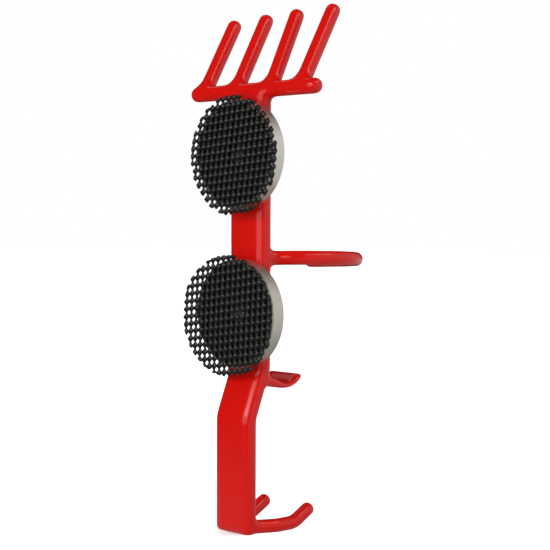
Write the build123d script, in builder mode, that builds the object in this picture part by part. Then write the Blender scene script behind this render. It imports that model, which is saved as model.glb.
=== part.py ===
"""Magnetic tool holder: a joggled flat-bar strap that two pot magnets hold to a steel wall.

The strap carries a four-peg rack, an open ring hook, a dished tongue and a two-armed fork.
Every bar and rod is drawn at its size over the dip coat.
Millimetres. The origin is the middle of the upper pad's wall face, -Y faces the wall, +Z is up.
"""

import math
import os

from build123d import *

# Back strap
strap_width = 29.4
strap_thickness = 8.8
strap_edge_radius = 3.4
strap_end_radius = 2.0
strap_bend_radius = 10.0
strap_top_lap = 2.4
leg_setback = 0.3
joggle_margin = 0.1
joggle_run = 29.6
leg_length = 70.85

# Rack: one cross bar and four pegs, set by hand with their own steps, leans and reaches
rack_bar_diameter = 9.4
rack_bar_length = 108.8
rack_bar_dome = 3.8
rack_bar_level = 39.4
rack_bar_shift = 1.8
rack_bar_setback = 1.0
peg_diameter = 8.9
peg_tip_radius = 3.0
left_peg_inset = 9.6
left_peg_step = 29.0
right_peg_inset = 15.6
right_peg_step = 25.0
peg_leans = (30.5, 29.7, 26.4, 30.7)
peg_reaches = (56.1, 56.9, 55.6, 59.4)

# Open ring hook
hook_rod_diameter = 8.8
hook_radius = 36.0
hook_level = -63.8
hook_seat_depth = 0.6
hook_lead = 18.0
hook_sweep = 217.0
hook_droop = 2.1
hook_roll = 2.4
hook_end_radius = 3.0

# Dished tongue
tongue_width = 28.8
tongue_drop = 5.9
tongue_root_depth = 6.0
tongue_root_thickness = 2.8
tongue_shelf = 1.6
tongue_fall = 12.5
tongue_reach = 14.8
tongue_dip = 4.5
tongue_thickness = 2.4
tongue_dish_radius = 14.7
tongue_lip_angle = 54.0
tongue_tip_radius = 1.0
tongue_edge_radius = 0.6

# Fork arms
fork_rod_diameter = 8.2
fork_root_offset = 8.5
fork_knee_offset = 17.8
fork_knee_reach = 12.6
fork_tip_offset = 19.0
fork_bend_reach = 27.0
fork_tip_reach = 42.4
fork_tip_rise = 7.9
fork_bend_radius = 14.0
fork_end_radius = 2.4
fork_root_depth = 4.0

# Pot magnets
magnet_spacing = 97.4
cup_diameter = 66.6
cup_depth = 9.8
cup_wall = 2.4
cup_floor = 3.0
cup_rim_chamfer = 0.6
cup_back_radius = 1.2
ferrite_gap = 0.5
ferrite_recess = 0.4
ferrite_bore = 16.0

# Grip pads: two layers of flat strands cut to a disc
upper_pad_diameter = 73.6
lower_pad_diameter = 75.2
pad_thickness = 2.6
pad_pitch = 6.1
pad_strand_width = 2.3
pad_layer_share = 0.62
lower_pad_shift = -3.6
lower_pad_sag = 0.7

# Screws, washers and lock nuts
screw_diameter = 6.0
screw_clearance = 0.3
screw_head_diameter = 11.5
screw_head_height = 3.6
screw_head_edge = 1.4
screw_socket_size = 4.0
screw_socket_depth = 2.0
screw_tail = 1.5
washer_diameter = 12.5
washer_thickness = 1.4
nut_across_flats = 10.0
nut_height = 5.0
nut_collar_diameter = 8.6
nut_collar_height = 2.0
nut_thread_clearance = 0.05

# Places that follow from the sizes above
strap_front = pad_thickness + cup_depth
strap_back = strap_front + strap_thickness
strap_middle = strap_front + strap_thickness / 2
leg_middle = leg_setback + strap_thickness / 2
leg_back = leg_setback + strap_thickness
joggle_angle = math.atan2(strap_middle - leg_middle, joggle_run)
joggle_start = -magnet_spacing - cup_diameter / 2 + cup_back_radius - joggle_margin
joggle_top = joggle_start - strap_bend_radius * math.tan(joggle_angle / 2)
joggle_bottom = joggle_top - joggle_run
foot_level = joggle_bottom - leg_length
tongue_root_level = joggle_top - tongue_drop
magnet_levels = {"upper": 0.0, "lower": -magnet_spacing}
pad_offsets = {"upper": (0.0, 0.0), "lower": (lower_pad_shift, lower_pad_sag)}
pad_diameters = {"upper": upper_pad_diameter, "lower": lower_pad_diameter}
rack_bar_depth = strap_middle + rack_bar_setback
left_peg = rack_bar_shift - rack_bar_length / 2 + left_peg_inset
right_peg = rack_bar_shift + rack_bar_length / 2 - right_peg_inset
peg_places = (left_peg, left_peg + left_peg_step, right_peg - right_peg_step, right_peg)
rack_bar_axis = Plane(origin=(rack_bar_shift, rack_bar_depth, rack_bar_level), x_dir=(0, 1, 0), z_dir=(1, 0, 0))


def wall_plane(name, depth=0.0):
    """Plane square to the wall at a magnet's middle, its Z running away from the wall."""
    return Plane(origin=(0, depth, magnet_levels[name]), x_dir=(1, 0, 0), z_dir=(0, 1, 0))


def pad_plane(name, depth=0.0):
    """The same plane at the middle of that magnet's pad; its own Y runs down."""
    shift, sag = pad_offsets[name]
    return wall_plane(name, depth).move(Location((shift, sag, 0)))


os.makedirs("parts", exist_ok=True)


def save(builder, label):
    """Name a finished piece and write it as its own file."""
    builder.part.label = label
    export_step(builder.part, f"parts/{label}.step")


# Rack bar, with domed coat at both ends
with BuildPart() as rack_bar:
    with BuildSketch(rack_bar_axis):
        Circle(rack_bar_diameter / 2)
    extrude(amount=rack_bar_length / 2, both=True)
    fillet(rack_bar.edges().filter_by(GeomType.CIRCLE), rack_bar_dome)
save(rack_bar, "rack_bar")

# Back strap, coped at the top for the rack bar and drilled for the magnet screws
with BuildPart() as back_strap:
    with BuildLine() as strap_line:
        FilletPolyline(
            (0, strap_middle, rack_bar_level - strap_top_lap),
            (0, strap_middle, joggle_top),
            (0, leg_middle, joggle_bottom),
            (0, leg_middle, foot_level),
            radius=strap_bend_radius,
        )
    with BuildSketch(Plane(origin=strap_line.line @ 0, x_dir=(1, 0, 0), z_dir=strap_line.line % 0)):
        RectangleRounded(strap_width, strap_thickness, strap_edge_radius)
    sweep()
    fillet(back_strap.faces().sort_by(Axis.Z)[0].edges(), strap_end_radius)
    with BuildSketch(rack_bar_axis):
        Circle(rack_bar_diameter / 2)
    extrude(amount=strap_width, both=True, mode=Mode.SUBTRACT)
    for name in magnet_levels:
        with BuildSketch(wall_plane(name, strap_front)):
            Circle(screw_diameter / 2 + screw_clearance)
        extrude(amount=strap_thickness, mode=Mode.SUBTRACT)
save(back_strap, "back_strap")

# Rack pegs, each coped over the rack bar
for number, (place, lean, reach) in enumerate(zip(peg_places, peg_leans, peg_reaches), start=1):
    peg_direction = (0, math.sin(math.radians(lean)), math.cos(math.radians(lean)))
    peg_root = Plane(origin=(place, rack_bar_depth, rack_bar_level), x_dir=(1, 0, 0), z_dir=peg_direction)
    with BuildPart() as rack_peg:
        with BuildSketch(peg_root):
            Circle(peg_diameter / 2)
        extrude(amount=reach)
        fillet(rack_peg.edges().filter_by(GeomType.CIRCLE).sort_by(Axis.Z)[-1], peg_tip_radius)
        add(rack_bar.part, mode=Mode.SUBTRACT)
    save(rack_peg, f"rack_peg_{number}")

# Open ring hook: one rod bent most of the way round, its free end on the far side
hook_touch = (0, strap_back + hook_rod_diameter / 2 - hook_seat_depth, hook_level)
hook_plane = Plane(origin=hook_touch).rotated((-hook_droop, -hook_roll, 0))
with BuildPart() as ring_hook:
    with BuildLine(hook_plane) as hook_line:
        CenterArc((0, hook_radius), hook_radius, -90 - hook_lead, hook_lead + hook_sweep)
    with BuildSketch(Plane(origin=hook_line.line @ 0, x_dir=hook_plane.z_dir, z_dir=hook_line.line % 0)):
        Circle(hook_rod_diameter / 2)
    sweep()
    fillet(ring_hook.faces().filter_by(GeomType.PLANE).edges(), hook_end_radius)
    add(back_strap.part, mode=Mode.SUBTRACT)
save(ring_hook, "ring_hook")

# Dished tongue: a bar end drawn out to a thin scoop, with its lip turned up
tongue_root = strap_back - tongue_root_depth
tongue_low = strap_back + tongue_reach
tongue_dish_level = tongue_root_level - tongue_dip
tongue_slope = (math.cos(math.radians(tongue_fall)), -math.sin(math.radians(tongue_fall)))
with BuildPart() as tongue:
    with BuildSketch(Plane.YZ):
        with BuildLine():
            shelf = Line((tongue_root, tongue_root_level), (strap_back + tongue_shelf, tongue_root_level))
            Spline(shelf @ 1, (tongue_low, tongue_dish_level), tangents=((1, 0), (1, 0)))
            dish = JernArc((tongue_low, tongue_dish_level), (1, 0), tongue_dish_radius, tongue_lip_angle)
            PolarLine(dish @ 1, tongue_thickness, tongue_lip_angle - 90)
            belly = JernArc(
                (tongue_low, tongue_dish_level - tongue_thickness),
                (1, 0),
                tongue_dish_radius + tongue_thickness,
                tongue_lip_angle,
            )
            underside = Spline(
                (tongue_root, tongue_root_level - tongue_root_thickness),
                belly @ 0,
                tangents=(tongue_slope, (1, 0)),
            )
            Line(underside @ 0, shelf @ 0)
        make_face()
    extrude(amount=tongue_width / 2, both=True)
    fillet(tongue.edges().filter_by(Axis.X).sort_by(Axis.Y)[-2:], tongue_tip_radius)
    tongue_sides = tongue.faces().sort_by(Axis.X)
    fillet(tongue_sides[0].edges() + tongue_sides[-1].edges(), tongue_edge_radius)
    add(back_strap.part, mode=Mode.SUBTRACT)
save(tongue, "tongue")

# Fork arms: rods that spread from the foot, run back on the floor and turn up at the tips
fork_level = foot_level + fork_rod_diameter / 2
for name, side in {"left": -1, "right": 1}.items():
    with BuildPart() as fork_arm:
        with BuildLine() as fork_line:
            FilletPolyline(
                (side * fork_root_offset, leg_back - fork_root_depth, fork_level),
                (side * fork_knee_offset, leg_back + fork_knee_reach, fork_level),
                (side * fork_tip_offset, leg_back + fork_bend_reach, fork_level),
                (side * fork_tip_offset, leg_back + fork_tip_reach, fork_level + fork_tip_rise),
                radius=fork_bend_radius,
            )
        with BuildSketch(Plane(origin=fork_line.line @ 0, x_dir=(0, 0, 1), z_dir=fork_line.line % 0)):
            Circle(fork_rod_diameter / 2)
        sweep()
        fillet(fork_arm.faces().filter_by(GeomType.PLANE).sort_by(Axis.Y)[-1].edges(), fork_end_radius)
        add(back_strap.part, mode=Mode.SUBTRACT)
    save(fork_arm, f"fork_arm_{name}")

# Pot magnets: a steel cup open to the wall, with a ferrite ring on its floor
ferrite_front = pad_thickness + ferrite_recess
floor_front = strap_front - cup_floor
for name in magnet_levels:
    with BuildPart() as magnet_cup:
        with BuildSketch(wall_plane(name, pad_thickness)):
            Circle(cup_diameter / 2)
        extrude(amount=cup_depth)
        chamfer(magnet_cup.faces().sort_by(Axis.Y)[0].edges(), cup_rim_chamfer)
        fillet(magnet_cup.faces().sort_by(Axis.Y)[-1].edges(), cup_back_radius)
        with BuildSketch(wall_plane(name, pad_thickness)):
            Circle(cup_diameter / 2 - cup_wall)
        extrude(amount=cup_depth - cup_floor, mode=Mode.SUBTRACT)
        with BuildSketch(wall_plane(name, floor_front)):
            Circle(screw_diameter / 2 + screw_clearance)
        extrude(amount=cup_floor, mode=Mode.SUBTRACT)
    save(magnet_cup, f"magnet_cup_{name}")

    with BuildPart() as ferrite_ring:
        with BuildSketch(wall_plane(name, ferrite_front)):
            Circle(cup_diameter / 2 - cup_wall - ferrite_gap)
            Circle(ferrite_bore / 2, mode=Mode.SUBTRACT)
        extrude(amount=floor_front - ferrite_front)
    save(ferrite_ring, f"ferrite_ring_{name}")

# Grip pads: upright strands at the wall, level strands behind, cut round with open strand ends
pad_layer = pad_thickness * pad_layer_share
for name, pad_diameter in pad_diameters.items():
    pad_count = 2 * math.floor(pad_diameter / 2 / pad_pitch) + 1
    with BuildPart() as grip_pad:
        for depth, across in ((0.0, True), (pad_thickness - pad_layer, False)):
            with BuildSketch(pad_plane(name, depth)):
                with GridLocations(pad_pitch, pad_pitch, pad_count if across else 1, 1 if across else pad_count):
                    Rectangle(
                        pad_strand_width if across else pad_diameter,
                        pad_diameter if across else pad_strand_width,
                    )
            extrude(amount=pad_layer)
        with BuildSketch(pad_plane(name)):
            Circle(pad_diameter / 2)
        extrude(amount=pad_thickness, mode=Mode.INTERSECT)
    save(grip_pad, f"grip_pad_{name}")

# Screws, washers and lock nuts, one of each for each magnet
washer_back = strap_back + washer_thickness
nut_back = washer_back + nut_height
shank_end = nut_back + nut_collar_height + screw_tail
with BuildPart() as magnet_screws:
    for name in magnet_levels:
        with BuildSketch(wall_plane(name, floor_front - screw_head_height)):
            Circle(screw_head_diameter / 2)
        extrude(amount=screw_head_height)
        fillet(magnet_screws.faces(Select.LAST).sort_by(Axis.Y)[0].edges(), screw_head_edge)
        with BuildSketch(wall_plane(name, floor_front)):
            Circle(screw_diameter / 2)
        extrude(amount=shank_end - floor_front)
        with BuildSketch(wall_plane(name, floor_front - screw_head_height)):
            RegularPolygon(screw_socket_size / 2, 6, major_radius=False)
        extrude(amount=screw_socket_depth, mode=Mode.SUBTRACT)
save(magnet_screws, "magnet_screws")

with BuildPart() as washers:
    for name in magnet_levels:
        with BuildSketch(wall_plane(name, strap_back)):
            Circle(washer_diameter / 2)
            Circle(screw_diameter / 2 + screw_clearance, mode=Mode.SUBTRACT)
        extrude(amount=washer_thickness)
save(washers, "washers")

with BuildPart() as lock_nuts:
    for name in magnet_levels:
        with BuildSketch(wall_plane(name, washer_back)):
            RegularPolygon(nut_across_flats / 2, 6, major_radius=False)
        extrude(amount=nut_height)
        with BuildSketch(wall_plane(name, nut_back)):
            Circle(nut_collar_diameter / 2)
        extrude(amount=nut_collar_height)
        with BuildSketch(wall_plane(name, washer_back)):
            Circle(screw_diameter / 2 + nut_thread_clearance)
        extrude(amount=nut_height + nut_collar_height, mode=Mode.SUBTRACT)
save(lock_nuts, "lock_nuts")
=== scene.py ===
"""Looks of the magnetic tool holder: a red dip-coated steel frame with two pot magnets.

Metres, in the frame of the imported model: -Y faces the wall, +Z is up.
"""

import math
import random

import bmesh
import bpy
import numpy as np
from mathutils import Matrix, Vector


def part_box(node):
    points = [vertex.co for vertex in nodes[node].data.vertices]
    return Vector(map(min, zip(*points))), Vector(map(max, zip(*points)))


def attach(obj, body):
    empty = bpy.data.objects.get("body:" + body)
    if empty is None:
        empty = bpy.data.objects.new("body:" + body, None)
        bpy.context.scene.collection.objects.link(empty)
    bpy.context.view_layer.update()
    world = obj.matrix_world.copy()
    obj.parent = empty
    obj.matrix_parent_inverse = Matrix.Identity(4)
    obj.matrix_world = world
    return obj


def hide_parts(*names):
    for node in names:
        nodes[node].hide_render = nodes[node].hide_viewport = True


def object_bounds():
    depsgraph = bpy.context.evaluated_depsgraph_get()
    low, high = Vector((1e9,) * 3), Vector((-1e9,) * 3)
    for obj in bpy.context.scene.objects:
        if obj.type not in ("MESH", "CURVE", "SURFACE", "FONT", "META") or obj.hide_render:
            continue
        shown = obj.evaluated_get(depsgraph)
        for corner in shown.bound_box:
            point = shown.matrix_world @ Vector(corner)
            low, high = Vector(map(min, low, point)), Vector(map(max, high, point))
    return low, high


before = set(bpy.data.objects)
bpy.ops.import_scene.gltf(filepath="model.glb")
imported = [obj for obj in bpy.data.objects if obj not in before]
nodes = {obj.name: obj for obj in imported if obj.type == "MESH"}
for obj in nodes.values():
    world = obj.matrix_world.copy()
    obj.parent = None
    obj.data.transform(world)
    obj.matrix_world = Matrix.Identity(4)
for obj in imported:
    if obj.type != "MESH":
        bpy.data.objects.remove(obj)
cad_low, cad_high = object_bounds()
scene = bpy.context.scene

# Coated frame
# Flat bar and round rod, welded up and then dipped in hot red PVC as one piece.
# The coat rounds every edge and runs into a small fillet wherever two bars meet.
COATED_NODES = [
    "back_strap",
    "rack_bar",
    "rack_peg_1",
    "rack_peg_2",
    "rack_peg_3",
    "rack_peg_4",
    "ring_hook",
    "tongue",
]
FORK_NODES = ["fork_arm_left", "fork_arm_right"]
PEG_COUNT = 4
COAT_GRAIN = 0.00075
COAT_FILLET = 0.0030
FORK_FILLET = 0.0012
COAT_SHRINK = 0.00024
SWOLLEN_ROUNDS = 2
DRAWN_BACK_ROUNDS = 3
LAST_ROUNDS = 10
SMOOTH_FACTOR = 0.5
SHADING_ROUNDS = 24
WELD_RADIUS = 0.0036
WELD_START = (-0.0054, 0.0, 0.0010)
WELD_REACH = 0.0105
WELD_SIDES = 32
COAT_RED = (0.66, 0.0055, 0.0024, 1)
COAT_DEEP_RED = (0.62, 0.0046, 0.0020, 1)
COAT_CLOUD_SCALE = 28
COAT_RIPPLE_SCALE = 110
COAT_RIPPLE_STRENGTH = 0.05
COAT_RIPPLE_HEIGHT = 0.0006
COAT_ROUGHNESS = 0.13
COAT_ROUGHNESS_SPREAD = 0.06
COAT_SHINE = 0.32


class Shade:
    """A shader socket that Python operators work on; each operator adds its Math node."""

    def __init__(self, tree, socket=None):
        self.tree = tree
        self.socket = socket

    def node(self, kind, settings=None, inputs=None, output=0):
        """Add any node: its settings first, then the values or links of its sockets."""
        made = self.tree.nodes.new(kind)
        for name, value in (settings or {}).items():
            setattr(made, name, value)
        for name, value in (inputs or {}).items():
            if isinstance(value, Shade):
                self.tree.links.new(value.socket, made.inputs[name])
            else:
                made.inputs[name].default_value = value
        return Shade(self.tree, made.outputs[output] if made.outputs else None)

    def maths(self, operation, *values):
        return self.node("ShaderNodeMath", {"operation": operation}, dict(enumerate(values)))

    def __add__(self, other):
        return self.maths("ADD", self, other)

    def __radd__(self, other):
        return self.maths("ADD", other, self)

    def __sub__(self, other):
        return self.maths("SUBTRACT", self, other)

    def __rsub__(self, other):
        return self.maths("SUBTRACT", other, self)

    def __mul__(self, other):
        return self.maths("MULTIPLY", self, other)

    def __rmul__(self, other):
        return self.maths("MULTIPLY", other, self)


def finish_named(name):
    """A new material, with its shader and its object coordinates ready to work on."""
    material = bpy.data.materials.new(name)
    material.use_nodes = True
    tree = material.node_tree
    shader = tree.nodes["Principled BSDF"]
    place = Shade(tree).node("ShaderNodeTexCoord", output="Object")
    return material, shader, place


def feed(shader, **inputs):
    """Set the shader's sockets, named with underscores: what varies is linked, the rest written."""
    for name, value in inputs.items():
        socket = shader.inputs[name.replace("_", " ")]
        if isinstance(value, Shade):
            value.tree.links.new(value.socket, socket)
        else:
            socket.default_value = value


def noise(place, scale, detail=3.0, stretch=None):
    """Noise by position in metres; stretch squeezes the grain along each axis."""
    if stretch:
        place = place.node("ShaderNodeMapping", {}, {"Vector": place, "Scale": stretch})
    return place.node("ShaderNodeTexNoise", {}, {"Vector": place, "Scale": scale, "Detail": detail})


def blend(mask, low, high):
    """Colour that runs from low to high with the mask."""
    return mask.node(
        "ShaderNodeMix",
        {"data_type": "RGBA"},
        {0: mask, 6: low, 7: high},
        output=2,
    )


def bump(height, strength, distance):
    """Normal of a surface that stands up by the height times the distance."""
    return height.node(
        "ShaderNodeBump",
        {},
        {"Strength": strength, "Distance": distance, "Height": height},
    )


def give_finish(piece, material):
    """Make the material the piece's only one."""
    piece.data.materials.clear()
    piece.data.materials.append(material)


def settled(obj):
    """Take the shape that the modifiers give as the piece's own mesh."""
    graph = bpy.context.evaluated_depsgraph_get()
    mesh = bpy.data.meshes.new_from_object(obj.evaluated_get(graph))
    obj.modifiers.clear()
    obj.data = mesh
    mesh.shade_smooth()


def skin(obj, rounds):
    """Wrap the piece in one closed skin and even out its surface."""
    wrap = obj.modifiers.new("wrap", "REMESH")
    wrap.mode = "VOXEL"
    wrap.voxel_size = COAT_GRAIN
    even = obj.modifiers.new("even", "SMOOTH")
    even.factor = SMOOTH_FACTOR
    even.iterations = rounds


def swell(obj, amount):
    """Move the skin out by an amount, or in where it is negative."""
    push = obj.modifiers.new("swell", "DISPLACE")
    push.direction = "NORMAL"
    push.mid_level = 0.0
    push.strength = amount


def dip(obj, fillet):
    """Run the coat into the corners: swell the skin until they close, then draw it back."""
    skin(obj, SWOLLEN_ROUNDS)
    swell(obj, fillet)
    skin(obj, DRAWN_BACK_ROUNDS)
    swell(obj, -fillet)


def hold_in_box(mesh):
    """Bring points that lie past the model's box back to its sides."""
    points = np.empty(len(mesh.vertices) * 3, dtype=np.float32)
    mesh.vertices.foreach_get("co", points)
    points = np.clip(points.reshape(-1, 3), cad_low, cad_high)
    mesh.vertices.foreach_set("co", points.ravel())
    mesh.update()


def calm_shading(mesh, rounds):
    """Even out the shading: each normal moves to the mean of its own and its neighbours'."""
    ends = np.empty(len(mesh.edges) * 2, dtype=np.int32)
    mesh.edges.foreach_get("vertices", ends)
    first, second = ends[0::2], ends[1::2]
    normals = np.empty(len(mesh.vertices) * 3, dtype=np.float32)
    mesh.vertex_normals.foreach_get("vector", normals)
    normals = normals.reshape(-1, 3)
    for _ in range(rounds):
        mean = normals.copy()
        np.add.at(mean, first, normals[second])
        np.add.at(mean, second, normals[first])
        normals = mean / np.linalg.norm(mean, axis=1, keepdims=True)
    mesh.normals_split_custom_set_from_vertices(normals)


steel = bmesh.new()
for name in COATED_NODES:
    steel.from_mesh(nodes[name].data)
bar_low, bar_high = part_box("rack_bar")
for number in range(1, PEG_COUNT + 1):
    peg_low, peg_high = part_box(f"rack_peg_{number}")
    root = Vector((
        (peg_low.x + peg_high.x) / 2,
        (bar_low.y + bar_high.y) / 2,
        (bar_low.z + bar_high.z) / 2,
    ))
    peg_way = (Vector((root.x, peg_high.y, peg_high.z)) - root).normalized()
    weld_low = root + Vector(WELD_START)
    weld = root + peg_way * WELD_REACH - weld_low
    weld_turn = weld.to_track_quat("Z", "Y").to_matrix().to_4x4()
    bmesh.ops.create_cone(
        steel,
        cap_ends=True,
        segments=WELD_SIDES,
        radius1=WELD_RADIUS,
        radius2=WELD_RADIUS,
        depth=weld.length,
        matrix=Matrix.Translation(weld_low + weld / 2) @ weld_turn,
    )
coat_mesh = bpy.data.meshes.new("coated_frame")
steel.to_mesh(coat_mesh)
steel.free()
coated_frame = bpy.data.objects.new("coated_frame", coat_mesh)
scene.collection.objects.link(coated_frame)
dip(coated_frame, COAT_FILLET)
settled(coated_frame)
with_fork = bmesh.new()
with_fork.from_mesh(coated_frame.data)
for name in FORK_NODES:
    with_fork.from_mesh(nodes[name].data)
with_fork.to_mesh(coated_frame.data)
with_fork.free()
dip(coated_frame, FORK_FILLET)
swell(coated_frame, COAT_SHRINK)
skin(coated_frame, LAST_ROUNDS)
settled(coated_frame)
hold_in_box(coated_frame.data)
calm_shading(coated_frame.data, SHADING_ROUNDS)

red_coat, coat_shader, coat_place = finish_named("red_coat")
cloud = noise(coat_place, COAT_CLOUD_SCALE)
ripple = noise(coat_place, COAT_RIPPLE_SCALE, detail=2.0)
feed(
    coat_shader,
    Base_Color=blend(cloud, COAT_DEEP_RED, COAT_RED),
    Roughness=COAT_ROUGHNESS + COAT_ROUGHNESS_SPREAD * ripple,
    Normal=bump(ripple, COAT_RIPPLE_STRENGTH, COAT_RIPPLE_HEIGHT),
    Specular_IOR_Level=COAT_SHINE,
)
give_finish(coated_frame, red_coat)
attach(coated_frame, "root")
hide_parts(*COATED_NODES, *FORK_NODES)

# Magnet cups
# Two shallow cups of soft steel, turned all over and left bare with a satin face.
# A screw through each floor clamps the cup to the strap.
CUP_STEEL = (0.66, 0.645, 0.59, 1)
CUP_DARK_STEEL = (0.40, 0.375, 0.31, 1)
CUP_TURNING_SCALE = 60
CUP_TURNING_STRETCH = (1, 40, 1)
CUP_STAIN_SCALE = 45
# Painted shade on the lower cup: full at the first height, gone at the second, and its share of the
# darkening.
CUP_SHADED_LEVEL = -0.08
CUP_LIT_LEVEL = 0.0
CUP_TURNING_SHARE = 0.5
CUP_STAIN_SHARE = 0.3
CUP_PAINTED_SHADE_SHARE = 0.35
CUP_ROUGHNESS = 0.30
CUP_ROUGHNESS_SPREAD = 0.16
CUP_TURNING_STRENGTH = 0.45
CUP_TURNING_HEIGHT = 0.0002


def graded(value, low, high, start=0.0, end=1.0, course="LINEAR"):
    """Level that runs from start to end while the value runs from low to high."""
    return value.node(
        "ShaderNodeMapRange",
        {"interpolation_type": course},
        {"Value": value, "From Min": low, "From Max": high, "To Min": start, "To Max": end},
    )


cup_steel, cup_shader, cup_place = finish_named("cup_steel")
turning = noise(cup_place, CUP_TURNING_SCALE, stretch=CUP_TURNING_STRETCH)
stain = noise(cup_place, CUP_STAIN_SCALE, detail=4.0)
cup_level = cup_place.node("ShaderNodeSeparateXYZ", {}, {0: cup_place}, output="Z")
# Painted shade: the steel is drawn darker towards the lower cup's height, so the lower cup reads
# darker than the upper one.
painted_light_by_height = graded(cup_level, CUP_SHADED_LEVEL, CUP_LIT_LEVEL)
grain_stain_and_painted_shade = CUP_TURNING_SHARE * turning + CUP_STAIN_SHARE * stain + CUP_PAINTED_SHADE_SHARE * painted_light_by_height
feed(
    cup_shader,
    Base_Color=blend(grain_stain_and_painted_shade, CUP_DARK_STEEL, CUP_STEEL),
    Roughness=CUP_ROUGHNESS + CUP_ROUGHNESS_SPREAD * turning,
    Normal=bump(turning, CUP_TURNING_STRENGTH, CUP_TURNING_HEIGHT),
    Metallic=1.0,
)
for name in ("magnet_cup_upper", "magnet_cup_lower"):
    give_finish(nodes[name], cup_steel)

# Ferrite rings
# Two pressed and fired ring magnets, dull dark grey, bonded to the floors of the cups.
# Their faces lie just under the rims, behind the mesh.
FERRITE_DARK = (0.005, 0.005, 0.006, 1)
FERRITE_PALE = (0.016, 0.016, 0.018, 1)
FERRITE_SPECK_SCALE = 900
FERRITE_SPECK_STRENGTH = 0.25
FERRITE_SPECK_HEIGHT = 0.0003
FERRITE_ROUGHNESS = 0.62
FERRITE_ROUGHNESS_SPREAD = 0.2
ferrite, ferrite_shader, ferrite_place = finish_named("ferrite")
speck = noise(ferrite_place, FERRITE_SPECK_SCALE)
feed(
    ferrite_shader,
    Base_Color=blend(speck, FERRITE_DARK, FERRITE_PALE),
    Roughness=FERRITE_ROUGHNESS + FERRITE_ROUGHNESS_SPREAD * speck,
    Normal=bump(speck, FERRITE_SPECK_STRENGTH, FERRITE_SPECK_HEIGHT),
)
for name in ("ferrite_ring_upper", "ferrite_ring_lower"):
    give_finish(nodes[name], ferrite)

# Screws, washers and lock nuts
# Bright zinc-plated fasteners: heads in the ferrite bores, washers and nuts behind the strap.
# Each nut's collar holds the screw's tail.
ZINC_PALE = (0.72, 0.73, 0.74, 1)
ZINC_GREY = (0.55, 0.56, 0.58, 1)
ZINC_PLATE_SCALE = 380
ZINC_PLATE_STRENGTH = 0.08
ZINC_PLATE_HEIGHT = 0.0002
ZINC_ROUGHNESS = 0.22
ZINC_ROUGHNESS_SPREAD = 0.14
zinc, zinc_shader, zinc_place = finish_named("fastener_steel")
plate = noise(zinc_place, ZINC_PLATE_SCALE)
feed(
    zinc_shader,
    Base_Color=blend(plate, ZINC_GREY, ZINC_PALE),
    Roughness=ZINC_ROUGHNESS + ZINC_ROUGHNESS_SPREAD * plate,
    Normal=bump(plate, ZINC_PLATE_STRENGTH, ZINC_PLATE_HEIGHT),
    Metallic=1.0,
)
for name in ("magnet_screws", "washers", "lock_nuts"):
    give_finish(nodes[name], zinc)

# Grip pads
# Open scrim with foamed black PVC on its yarns, cut round and stuck over each magnet's face.
# The foam swells to a bead at each crossing; the lattice is askew, as it was stretched on.
MM_IN_METRE = 1000
PAD_LATTICES = {
    "upper": {
        "across": (4.52, 0.37),
        "along": (0.72, 4.64),
        "start": (1.9, 1.2),
        "flap": 0.0,
        "slip": -1.05,
        "seed": 11,
    },
    "lower": {
        "across": (4.52, 0.66),
        "along": (0.25, 4.74),
        "start": (0.4, 1.0),
        "flap": 3.2,
        "slip": -0.85,
        "seed": 23,
    },
}
PAD_LEAST_PITCH = 4.2
PAD_WANDER = 0.13
PAD_RAGGED = 0.25
PAD_RAGGED_WAVES = (7, 23)
PAD_JOIN = 0.02
PAD_CORE = 1.29
BEAD_OVERHANG = 0.9
BEAD_HALF_WIDTH = 0.44
BEAD_HALF_DEPTH = 1.27
BEAD_LEAST_PLUMP = 0.82
YARN_HALF_WIDTH = 0.20
YARN_HALF_DEPTH = 0.55
HOLE_POINTS = 24
FRONT_RINGS = (0.06, 0.18, 0.36, 0.56, 0.78, 1.0)
BACK_RINGS = (0.15, 0.50, 1.0)
PAD_BLACK = (0.0042, 0.0036, 0.0028, 1)
PAD_WORN_BLACK = (0.0105, 0.0094, 0.0078, 1)
FOAM_SCALE = 1400
FOAM_STRENGTH = 0.12
FOAM_HEIGHT = 0.0002
FOAM_SHARE = 0.7
WEAR_SCALE = 60
WEAR_SHARE = 0.3
PAD_ROUGHNESS = 0.26
PAD_ROUGHNESS_SPREAD = 0.2
PAD_SHINE = 0.4


def cell_edge(turn):
    """Points on the unit cell's edge and on its hole's rim, at a turn round the cell."""
    way = Vector((math.cos(turn), math.sin(turn)))
    largest = max(abs(way.x), abs(way.y))
    reach = (0.5 - YARN_HALF_WIDTH) / largest
    along = (abs(way.x) + abs(way.y)) / 2
    inside = along**2 - 0.5 + BEAD_HALF_WIDTH**2
    if inside > 0:
        reach = min(reach, along - math.sqrt(inside))
    return way * (0.5 / largest), way * reach


def foam_height(u, v, plump):
    """Height of the foam over the pad's middle: yarns on the cell's edges, beads at its corners."""
    yarn = 1 - ((0.5 - max(abs(u), abs(v))) / YARN_HALF_WIDTH) ** 2
    bead = 1 - (math.hypot(0.5 - abs(u), 0.5 - abs(v)) / BEAD_HALF_WIDTH) ** 2
    return max(
        YARN_HALF_DEPTH * math.sqrt(max(yarn, 0.0)),
        BEAD_HALF_DEPTH * plump * math.sqrt(max(bead, 0.0)),
    )


def foam_row(built, quad, fill, ring, side):
    """Points round a cell, from its hole's rim at ring 0 to its edge at ring 1, on one side."""
    row = []
    for k in range(HOLE_POINTS):
        edge, hole = cell_edge(math.tau * k / HOLE_POINTS)
        spot = hole.lerp(edge, ring)
        u, v = spot.x + 0.5, spot.y + 0.5
        shares = ((1 - u) * (1 - v), u * (1 - v), u * v, (1 - u) * v)
        flat = sum((p * s for p, s in zip(quad, shares)), Vector((0, 0)))
        plump = sum(f * s for f, s in zip(fill, shares))
        height = foam_height(spot.x, spot.y, plump) if ring else 0.0
        row.append(built.verts.new((flat.x, PAD_CORE + side * height, flat.y)))
    return row


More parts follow.
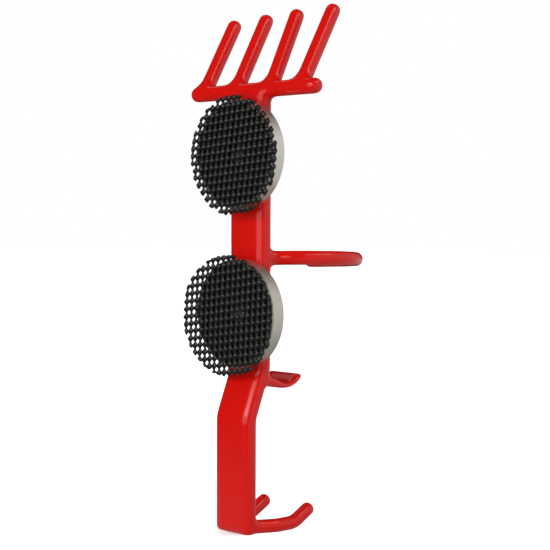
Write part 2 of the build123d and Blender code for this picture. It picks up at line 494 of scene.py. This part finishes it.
def foam_cell(built, quad, fill, held):
    """Foam round one cell's hole, front and back; a quarter whose bead is cut off stays empty."""
    rim = foam_row(built, quad, fill, 0.0, 0)
    for rings, side in ((FRONT_RINGS, -1), (BACK_RINGS, 1)):
        rows = [rim] + [foam_row(built, quad, fill, ring, side) for ring in rings]
        for inner, outer in zip(rows, rows[1:]):
            for k in range(HOLE_POINTS):
                corner = (4 * k // HOLE_POINTS + 2) % 4
                if not held[corner]:
                    continue
                n = (k + 1) % HOLE_POINTS
                ring_face = (inner[k], inner[n], outer[n], outer[k])
                built.faces.new(ring_face if side < 0 else ring_face[::-1])


def pad_edge(spot, radius, lattice):
    """Distance from the pad's middle to its cut edge beside a spot; a loose flap reaches to -X."""
    turn = math.atan2(spot.y, spot.x)
    slow, quick = PAD_RAGGED_WAVES
    ragged = PAD_RAGGED * math.sin(slow * turn + lattice["seed"]) * math.sin(quick * turn)
    return radius - PAD_RAGGED + ragged + lattice["flap"] * max(0.0, -math.cos(turn)) ** 2


def grip_mesh(pad, lattice):
    """Closed mesh of one pad, cut to the size of its CAD solid and worked out in millimetres."""
    low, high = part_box(pad)
    middle = ((low + high) / 2) * MM_IN_METRE
    radius = (high.x - low.x) / 2 * MM_IN_METRE
    draw = random.Random(lattice["seed"])
    across = Vector(lattice["across"])
    along = Vector(lattice["along"])
    start = Vector(lattice["start"])
    count = int(radius / PAD_LEAST_PITCH) + 2
    corners = {}
    for i in range(-count, count + 2):
        for j in range(-count, count + 2):
            wander = Vector((draw.uniform(-1, 1), draw.uniform(-1, 1))) * PAD_WANDER
            corners[i, j] = start + across * (i - 0.5) + along * (j - 0.5) + wander
    plump_of = {key: draw.uniform(BEAD_LEAST_PLUMP, 1.0) for key in corners}
    kept = {
        key
        for key, spot in corners.items()
        if spot.length < pad_edge(spot, radius, lattice) + BEAD_OVERHANG
    }
    built = bmesh.new()
    for i in range(-count, count + 1):
        for j in range(-count, count + 1):
            ends = ((i, j), (i + 1, j), (i + 1, j + 1), (i, j + 1))
            held = [key in kept for key in ends]
            if any(held):
                quad = [corners[key] for key in ends]
                fill = [plump_of[key] for key in ends]
                foam_cell(built, quad, fill, held)
    bmesh.ops.remove_doubles(built, verts=built.verts, dist=PAD_JOIN)
    past_edge = []
    for face in built.faces:
        centre = face.calc_center_median()
        spot = Vector((centre.x, centre.z))
        if spot.length > pad_edge(spot, radius, lattice):
            past_edge.append(face)
    bmesh.ops.delete(built, geom=past_edge, context="FACES")
    bmesh.ops.delete(built, geom=[v for v in built.verts if not v.link_faces], context="VERTS")
    open_edges = [e for e in built.edges if e.is_boundary]
    caps = bmesh.ops.holes_fill(built, edges=open_edges, sides=0)["faces"]
    bmesh.ops.poke(built, faces=caps)
    bmesh.ops.recalc_face_normals(built, faces=built.faces)
    seat = Matrix.Translation((middle.x, 0, middle.z + lattice["slip"]))
    bmesh.ops.transform(built, matrix=Matrix.Scale(1 / MM_IN_METRE, 4) @ seat, verts=built.verts)
    mesh = bpy.data.meshes.new(pad)
    built.to_mesh(mesh)
    built.free()
    mesh.shade_smooth()
    return mesh


black_foam, grip_shader, grip_place = finish_named("grip_mesh")
foam = noise(grip_place, FOAM_SCALE)
wear = noise(grip_place, WEAR_SCALE)
feed(
    grip_shader,
    Base_Color=blend(FOAM_SHARE * foam + WEAR_SHARE * wear, PAD_BLACK, PAD_WORN_BLACK),
    Roughness=PAD_ROUGHNESS + PAD_ROUGHNESS_SPREAD * foam,
    Normal=bump(foam, FOAM_STRENGTH, FOAM_HEIGHT),
    Specular_IOR_Level=PAD_SHINE,
)
for which, lattice in PAD_LATTICES.items():
    node = f"grip_pad_{which}"
    pad = bpy.data.objects.new(f"mesh_pad_{which}", grip_mesh(node, lattice))
    scene.collection.objects.link(pad)
    give_finish(pad, black_foam)
    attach(pad, "root")
    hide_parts(node)

# Floor
# A plain white floor under the foot, which glows white to the camera and keeps a soft shadow.
# The coat and the steel mirror it bright behind the holder and dim in front of it.
FLOOR_SIZE = 12.0
FLOOR_GREY = (0.72, 0.72, 0.72, 1)
FLOOR_GLOW = 0.96
# Painted contact shadow: the floor's glow drops to this level close round the foot, within this
# reach.
FLOOR_PAINTED_SHADOW_GLOW = 0.34
FLOOR_PAINTED_SHADOW_REACH = 0.026
FLOOR_NEAR_SHEEN = 0.45
FLOOR_FAR_SHEEN = 0.05
FLOOR_SHEEN_REACH = 0.40
FLOOR_BACK_SHEEN = 0.80
FLOOR_BACK_REACH = 0.3
BACKDROP_WAY = (0.848, 0.530, 0.0)


def length_along(place, way):
    """How far a place lies along a way."""
    return place.node(
        "ShaderNodeVectorMath",
        {"operation": "DOT_PRODUCT"},
        {0: place, 1: way},
        output="Value",
    )


def ray_kind(shade, kind):
    """Mask that is 1 for one kind of ray, by its name in Light Path."""
    return shade.node("ShaderNodeLightPath", output=f"Is {kind} Ray")


half = FLOOR_SIZE / 2
floor_mesh = bpy.data.meshes.new("floor")
floor_mesh.from_pydata(
    [(-half, -half, 0), (half, -half, 0), (half, half, 0), (-half, half, 0)],
    [],
    [(0, 1, 2, 3)],
)
floor = bpy.data.objects.new("floor", floor_mesh)
floor.location.z = cad_low.z
scene.collection.objects.link(floor)
floor_white = bpy.data.materials.new("floor_white")
floor_white.use_nodes = True
floor_white.node_tree.nodes.clear()
ground = Shade(floor_white.node_tree)
ground_place = ground.node("ShaderNodeTexCoord", output="Object")
ground_reach = ground.node(
    "ShaderNodeVectorMath",
    {"operation": "LENGTH"},
    {0: ground_place},
    output="Value",
)
behind = graded(length_along(ground_place, BACKDROP_WAY), 0.0, FLOOR_BACK_REACH)
sheen = graded(ground_reach, 0.0, FLOOR_SHEEN_REACH, FLOOR_NEAR_SHEEN, FLOOR_FAR_SHEEN)
ground_mirrored = sheen + (FLOOR_BACK_SHEEN - sheen) * behind
# Painted shadow: the floor's glow is turned down close round its middle under the foot, so it reads
# darker there.
glow_with_painted_shadow = graded(
    ground_reach,
    0.0,
    FLOOR_PAINTED_SHADOW_REACH,
    FLOOR_PAINTED_SHADOW_GLOW,
    FLOOR_GLOW,
    course="SMOOTHSTEP",
)
ground_seen = ground.maths("MAXIMUM", ray_kind(ground, "Camera"), ray_kind(ground, "Transmission"))
matt = ground.node("ShaderNodeBsdfDiffuse", {}, {"Color": FLOOR_GREY})
glow = ground.node("ShaderNodeEmission", {}, {"Color": glow_with_painted_shadow, "Strength": 1.0})
lit = ground.node("ShaderNodeAddShader", {}, {0: matt, 1: glow})
shown = ground.node("ShaderNodeMixShader", {}, {0: ground_seen, 1: matt, 2: lit})
in_gloss = ground.node("ShaderNodeEmission", {}, {"Color": ground_mirrored, "Strength": 1.0})
shown = ground.node(
    "ShaderNodeMixShader",
    {},
    {0: ray_kind(ground, "Glossy"), 1: shown, 2: in_gloss},
)
ground.node("ShaderNodeOutputMaterial", {}, {"Surface": shown})
give_finish(floor, floor_white)

# Room and lamps
# A white backdrop behind the holder and, for reflections, a dim room on the other side.
# Soft boxes: a wide one in front, a brighter one before its upper half, one high on the right,
# and a weak one high behind on the left.
ROOM_GLOW = 1.05
ROOM_SHADE = 0.30
ROOM_DIM = 0.04
BACKDROP_SIDE = 0.05
BACKDROP_TOP = 0.50
BACKDROP_FALL = 0.25
BACKDROP_OVERHEAD = 0.75
SOFT_BOXES = {
    "front_box": {"place": (-0.07, -1.34, 0.215), "size": (1.5, 0.90), "power": 8.8},
    "key_box": {"place": (-0.11, -1.24, 0.42), "size": (0.95, 0.30), "power": 4.6},
    "right_box": {"place": (0.90, 0.03, 1.01), "size": (1.1, 0.30), "power": 3.9},
    "top_box": {"place": (-0.80, 0.38, 0.92), "size": (0.55, 0.40), "power": 0.4},
}
LIGHT_AIM = (0.0, 0.02, -0.06)
world = bpy.data.worlds.new("white_room")
world.use_nodes = True
scene.world = world
world.node_tree.nodes.clear()
room = Shade(world.node_tree)
room_seen = room.maths("MAXIMUM", ray_kind(room, "Camera"), ray_kind(room, "Transmission"))
room_gloss = ray_kind(room, "Glossy")
room_way = room.node("ShaderNodeTexCoord", output="Generated")
facing = length_along(room_way, BACKDROP_WAY)
rise = room.node("ShaderNodeSeparateXYZ", {}, {0: room_way}, output="Z")
below_top = graded(
    rise,
    BACKDROP_TOP,
    BACKDROP_TOP + BACKDROP_FALL,
    1.0,
    BACKDROP_OVERHEAD,
    course="SMOOTHSTEP",
)
backdrop = graded(facing, BACKDROP_SIDE, 1.0, course="SMOOTHSTEP") * below_top
mirrored = ROOM_DIM + (1 - ROOM_DIM) * backdrop
scattered = ROOM_SHADE + (ROOM_GLOW - ROOM_SHADE) * backdrop
unseen = room_gloss * mirrored + (1 - room_gloss) * scattered
room_level = room_seen + (1 - room_seen) * unseen
room_light = room.node("ShaderNodeBackground", {}, {"Color": room_level, "Strength": 1.0})
room.node("ShaderNodeOutputWorld", {}, {"Surface": room_light})

for name, box in SOFT_BOXES.items():
    lamp = bpy.data.lights.new(name, "AREA")
    lamp.shape = "RECTANGLE"
    lamp.size, lamp.size_y = box["size"]
    lamp.energy = box["power"]
    stand = bpy.data.objects.new(name, lamp)
    stand.location = box["place"]
    aim = Vector(LIGHT_AIM) - stand.location
    stand.rotation_euler = aim.to_track_quat("-Z", "Y").to_euler()
    stand.visible_camera = False
    scene.collection.objects.link(stand)

# Camera
# A long lens a little above the middle of the holder.
# It is turned so that the strap stands left of centre.
CAMERA_LENS = 92.29
CAMERA_SENSOR = 36.0
CAMERA_PLACE = (0.61518, -0.59828, -0.03693)
CAMERA_DIP = 2.4366
CAMERA_ROLL = -0.2
CAMERA_TURN = 44.021
camera_data = bpy.data.cameras.new("camera")
camera_data.lens = CAMERA_LENS
camera_data.sensor_width = CAMERA_SENSOR
camera = bpy.data.objects.new("camera", camera_data)
camera.location = CAMERA_PLACE
camera.rotation_euler = [math.radians(a) for a in (90 - CAMERA_DIP, CAMERA_ROLL, CAMERA_TURN)]
scene.collection.objects.link(camera)
scene.camera = camera
scene.view_settings.view_transform = "Standard"
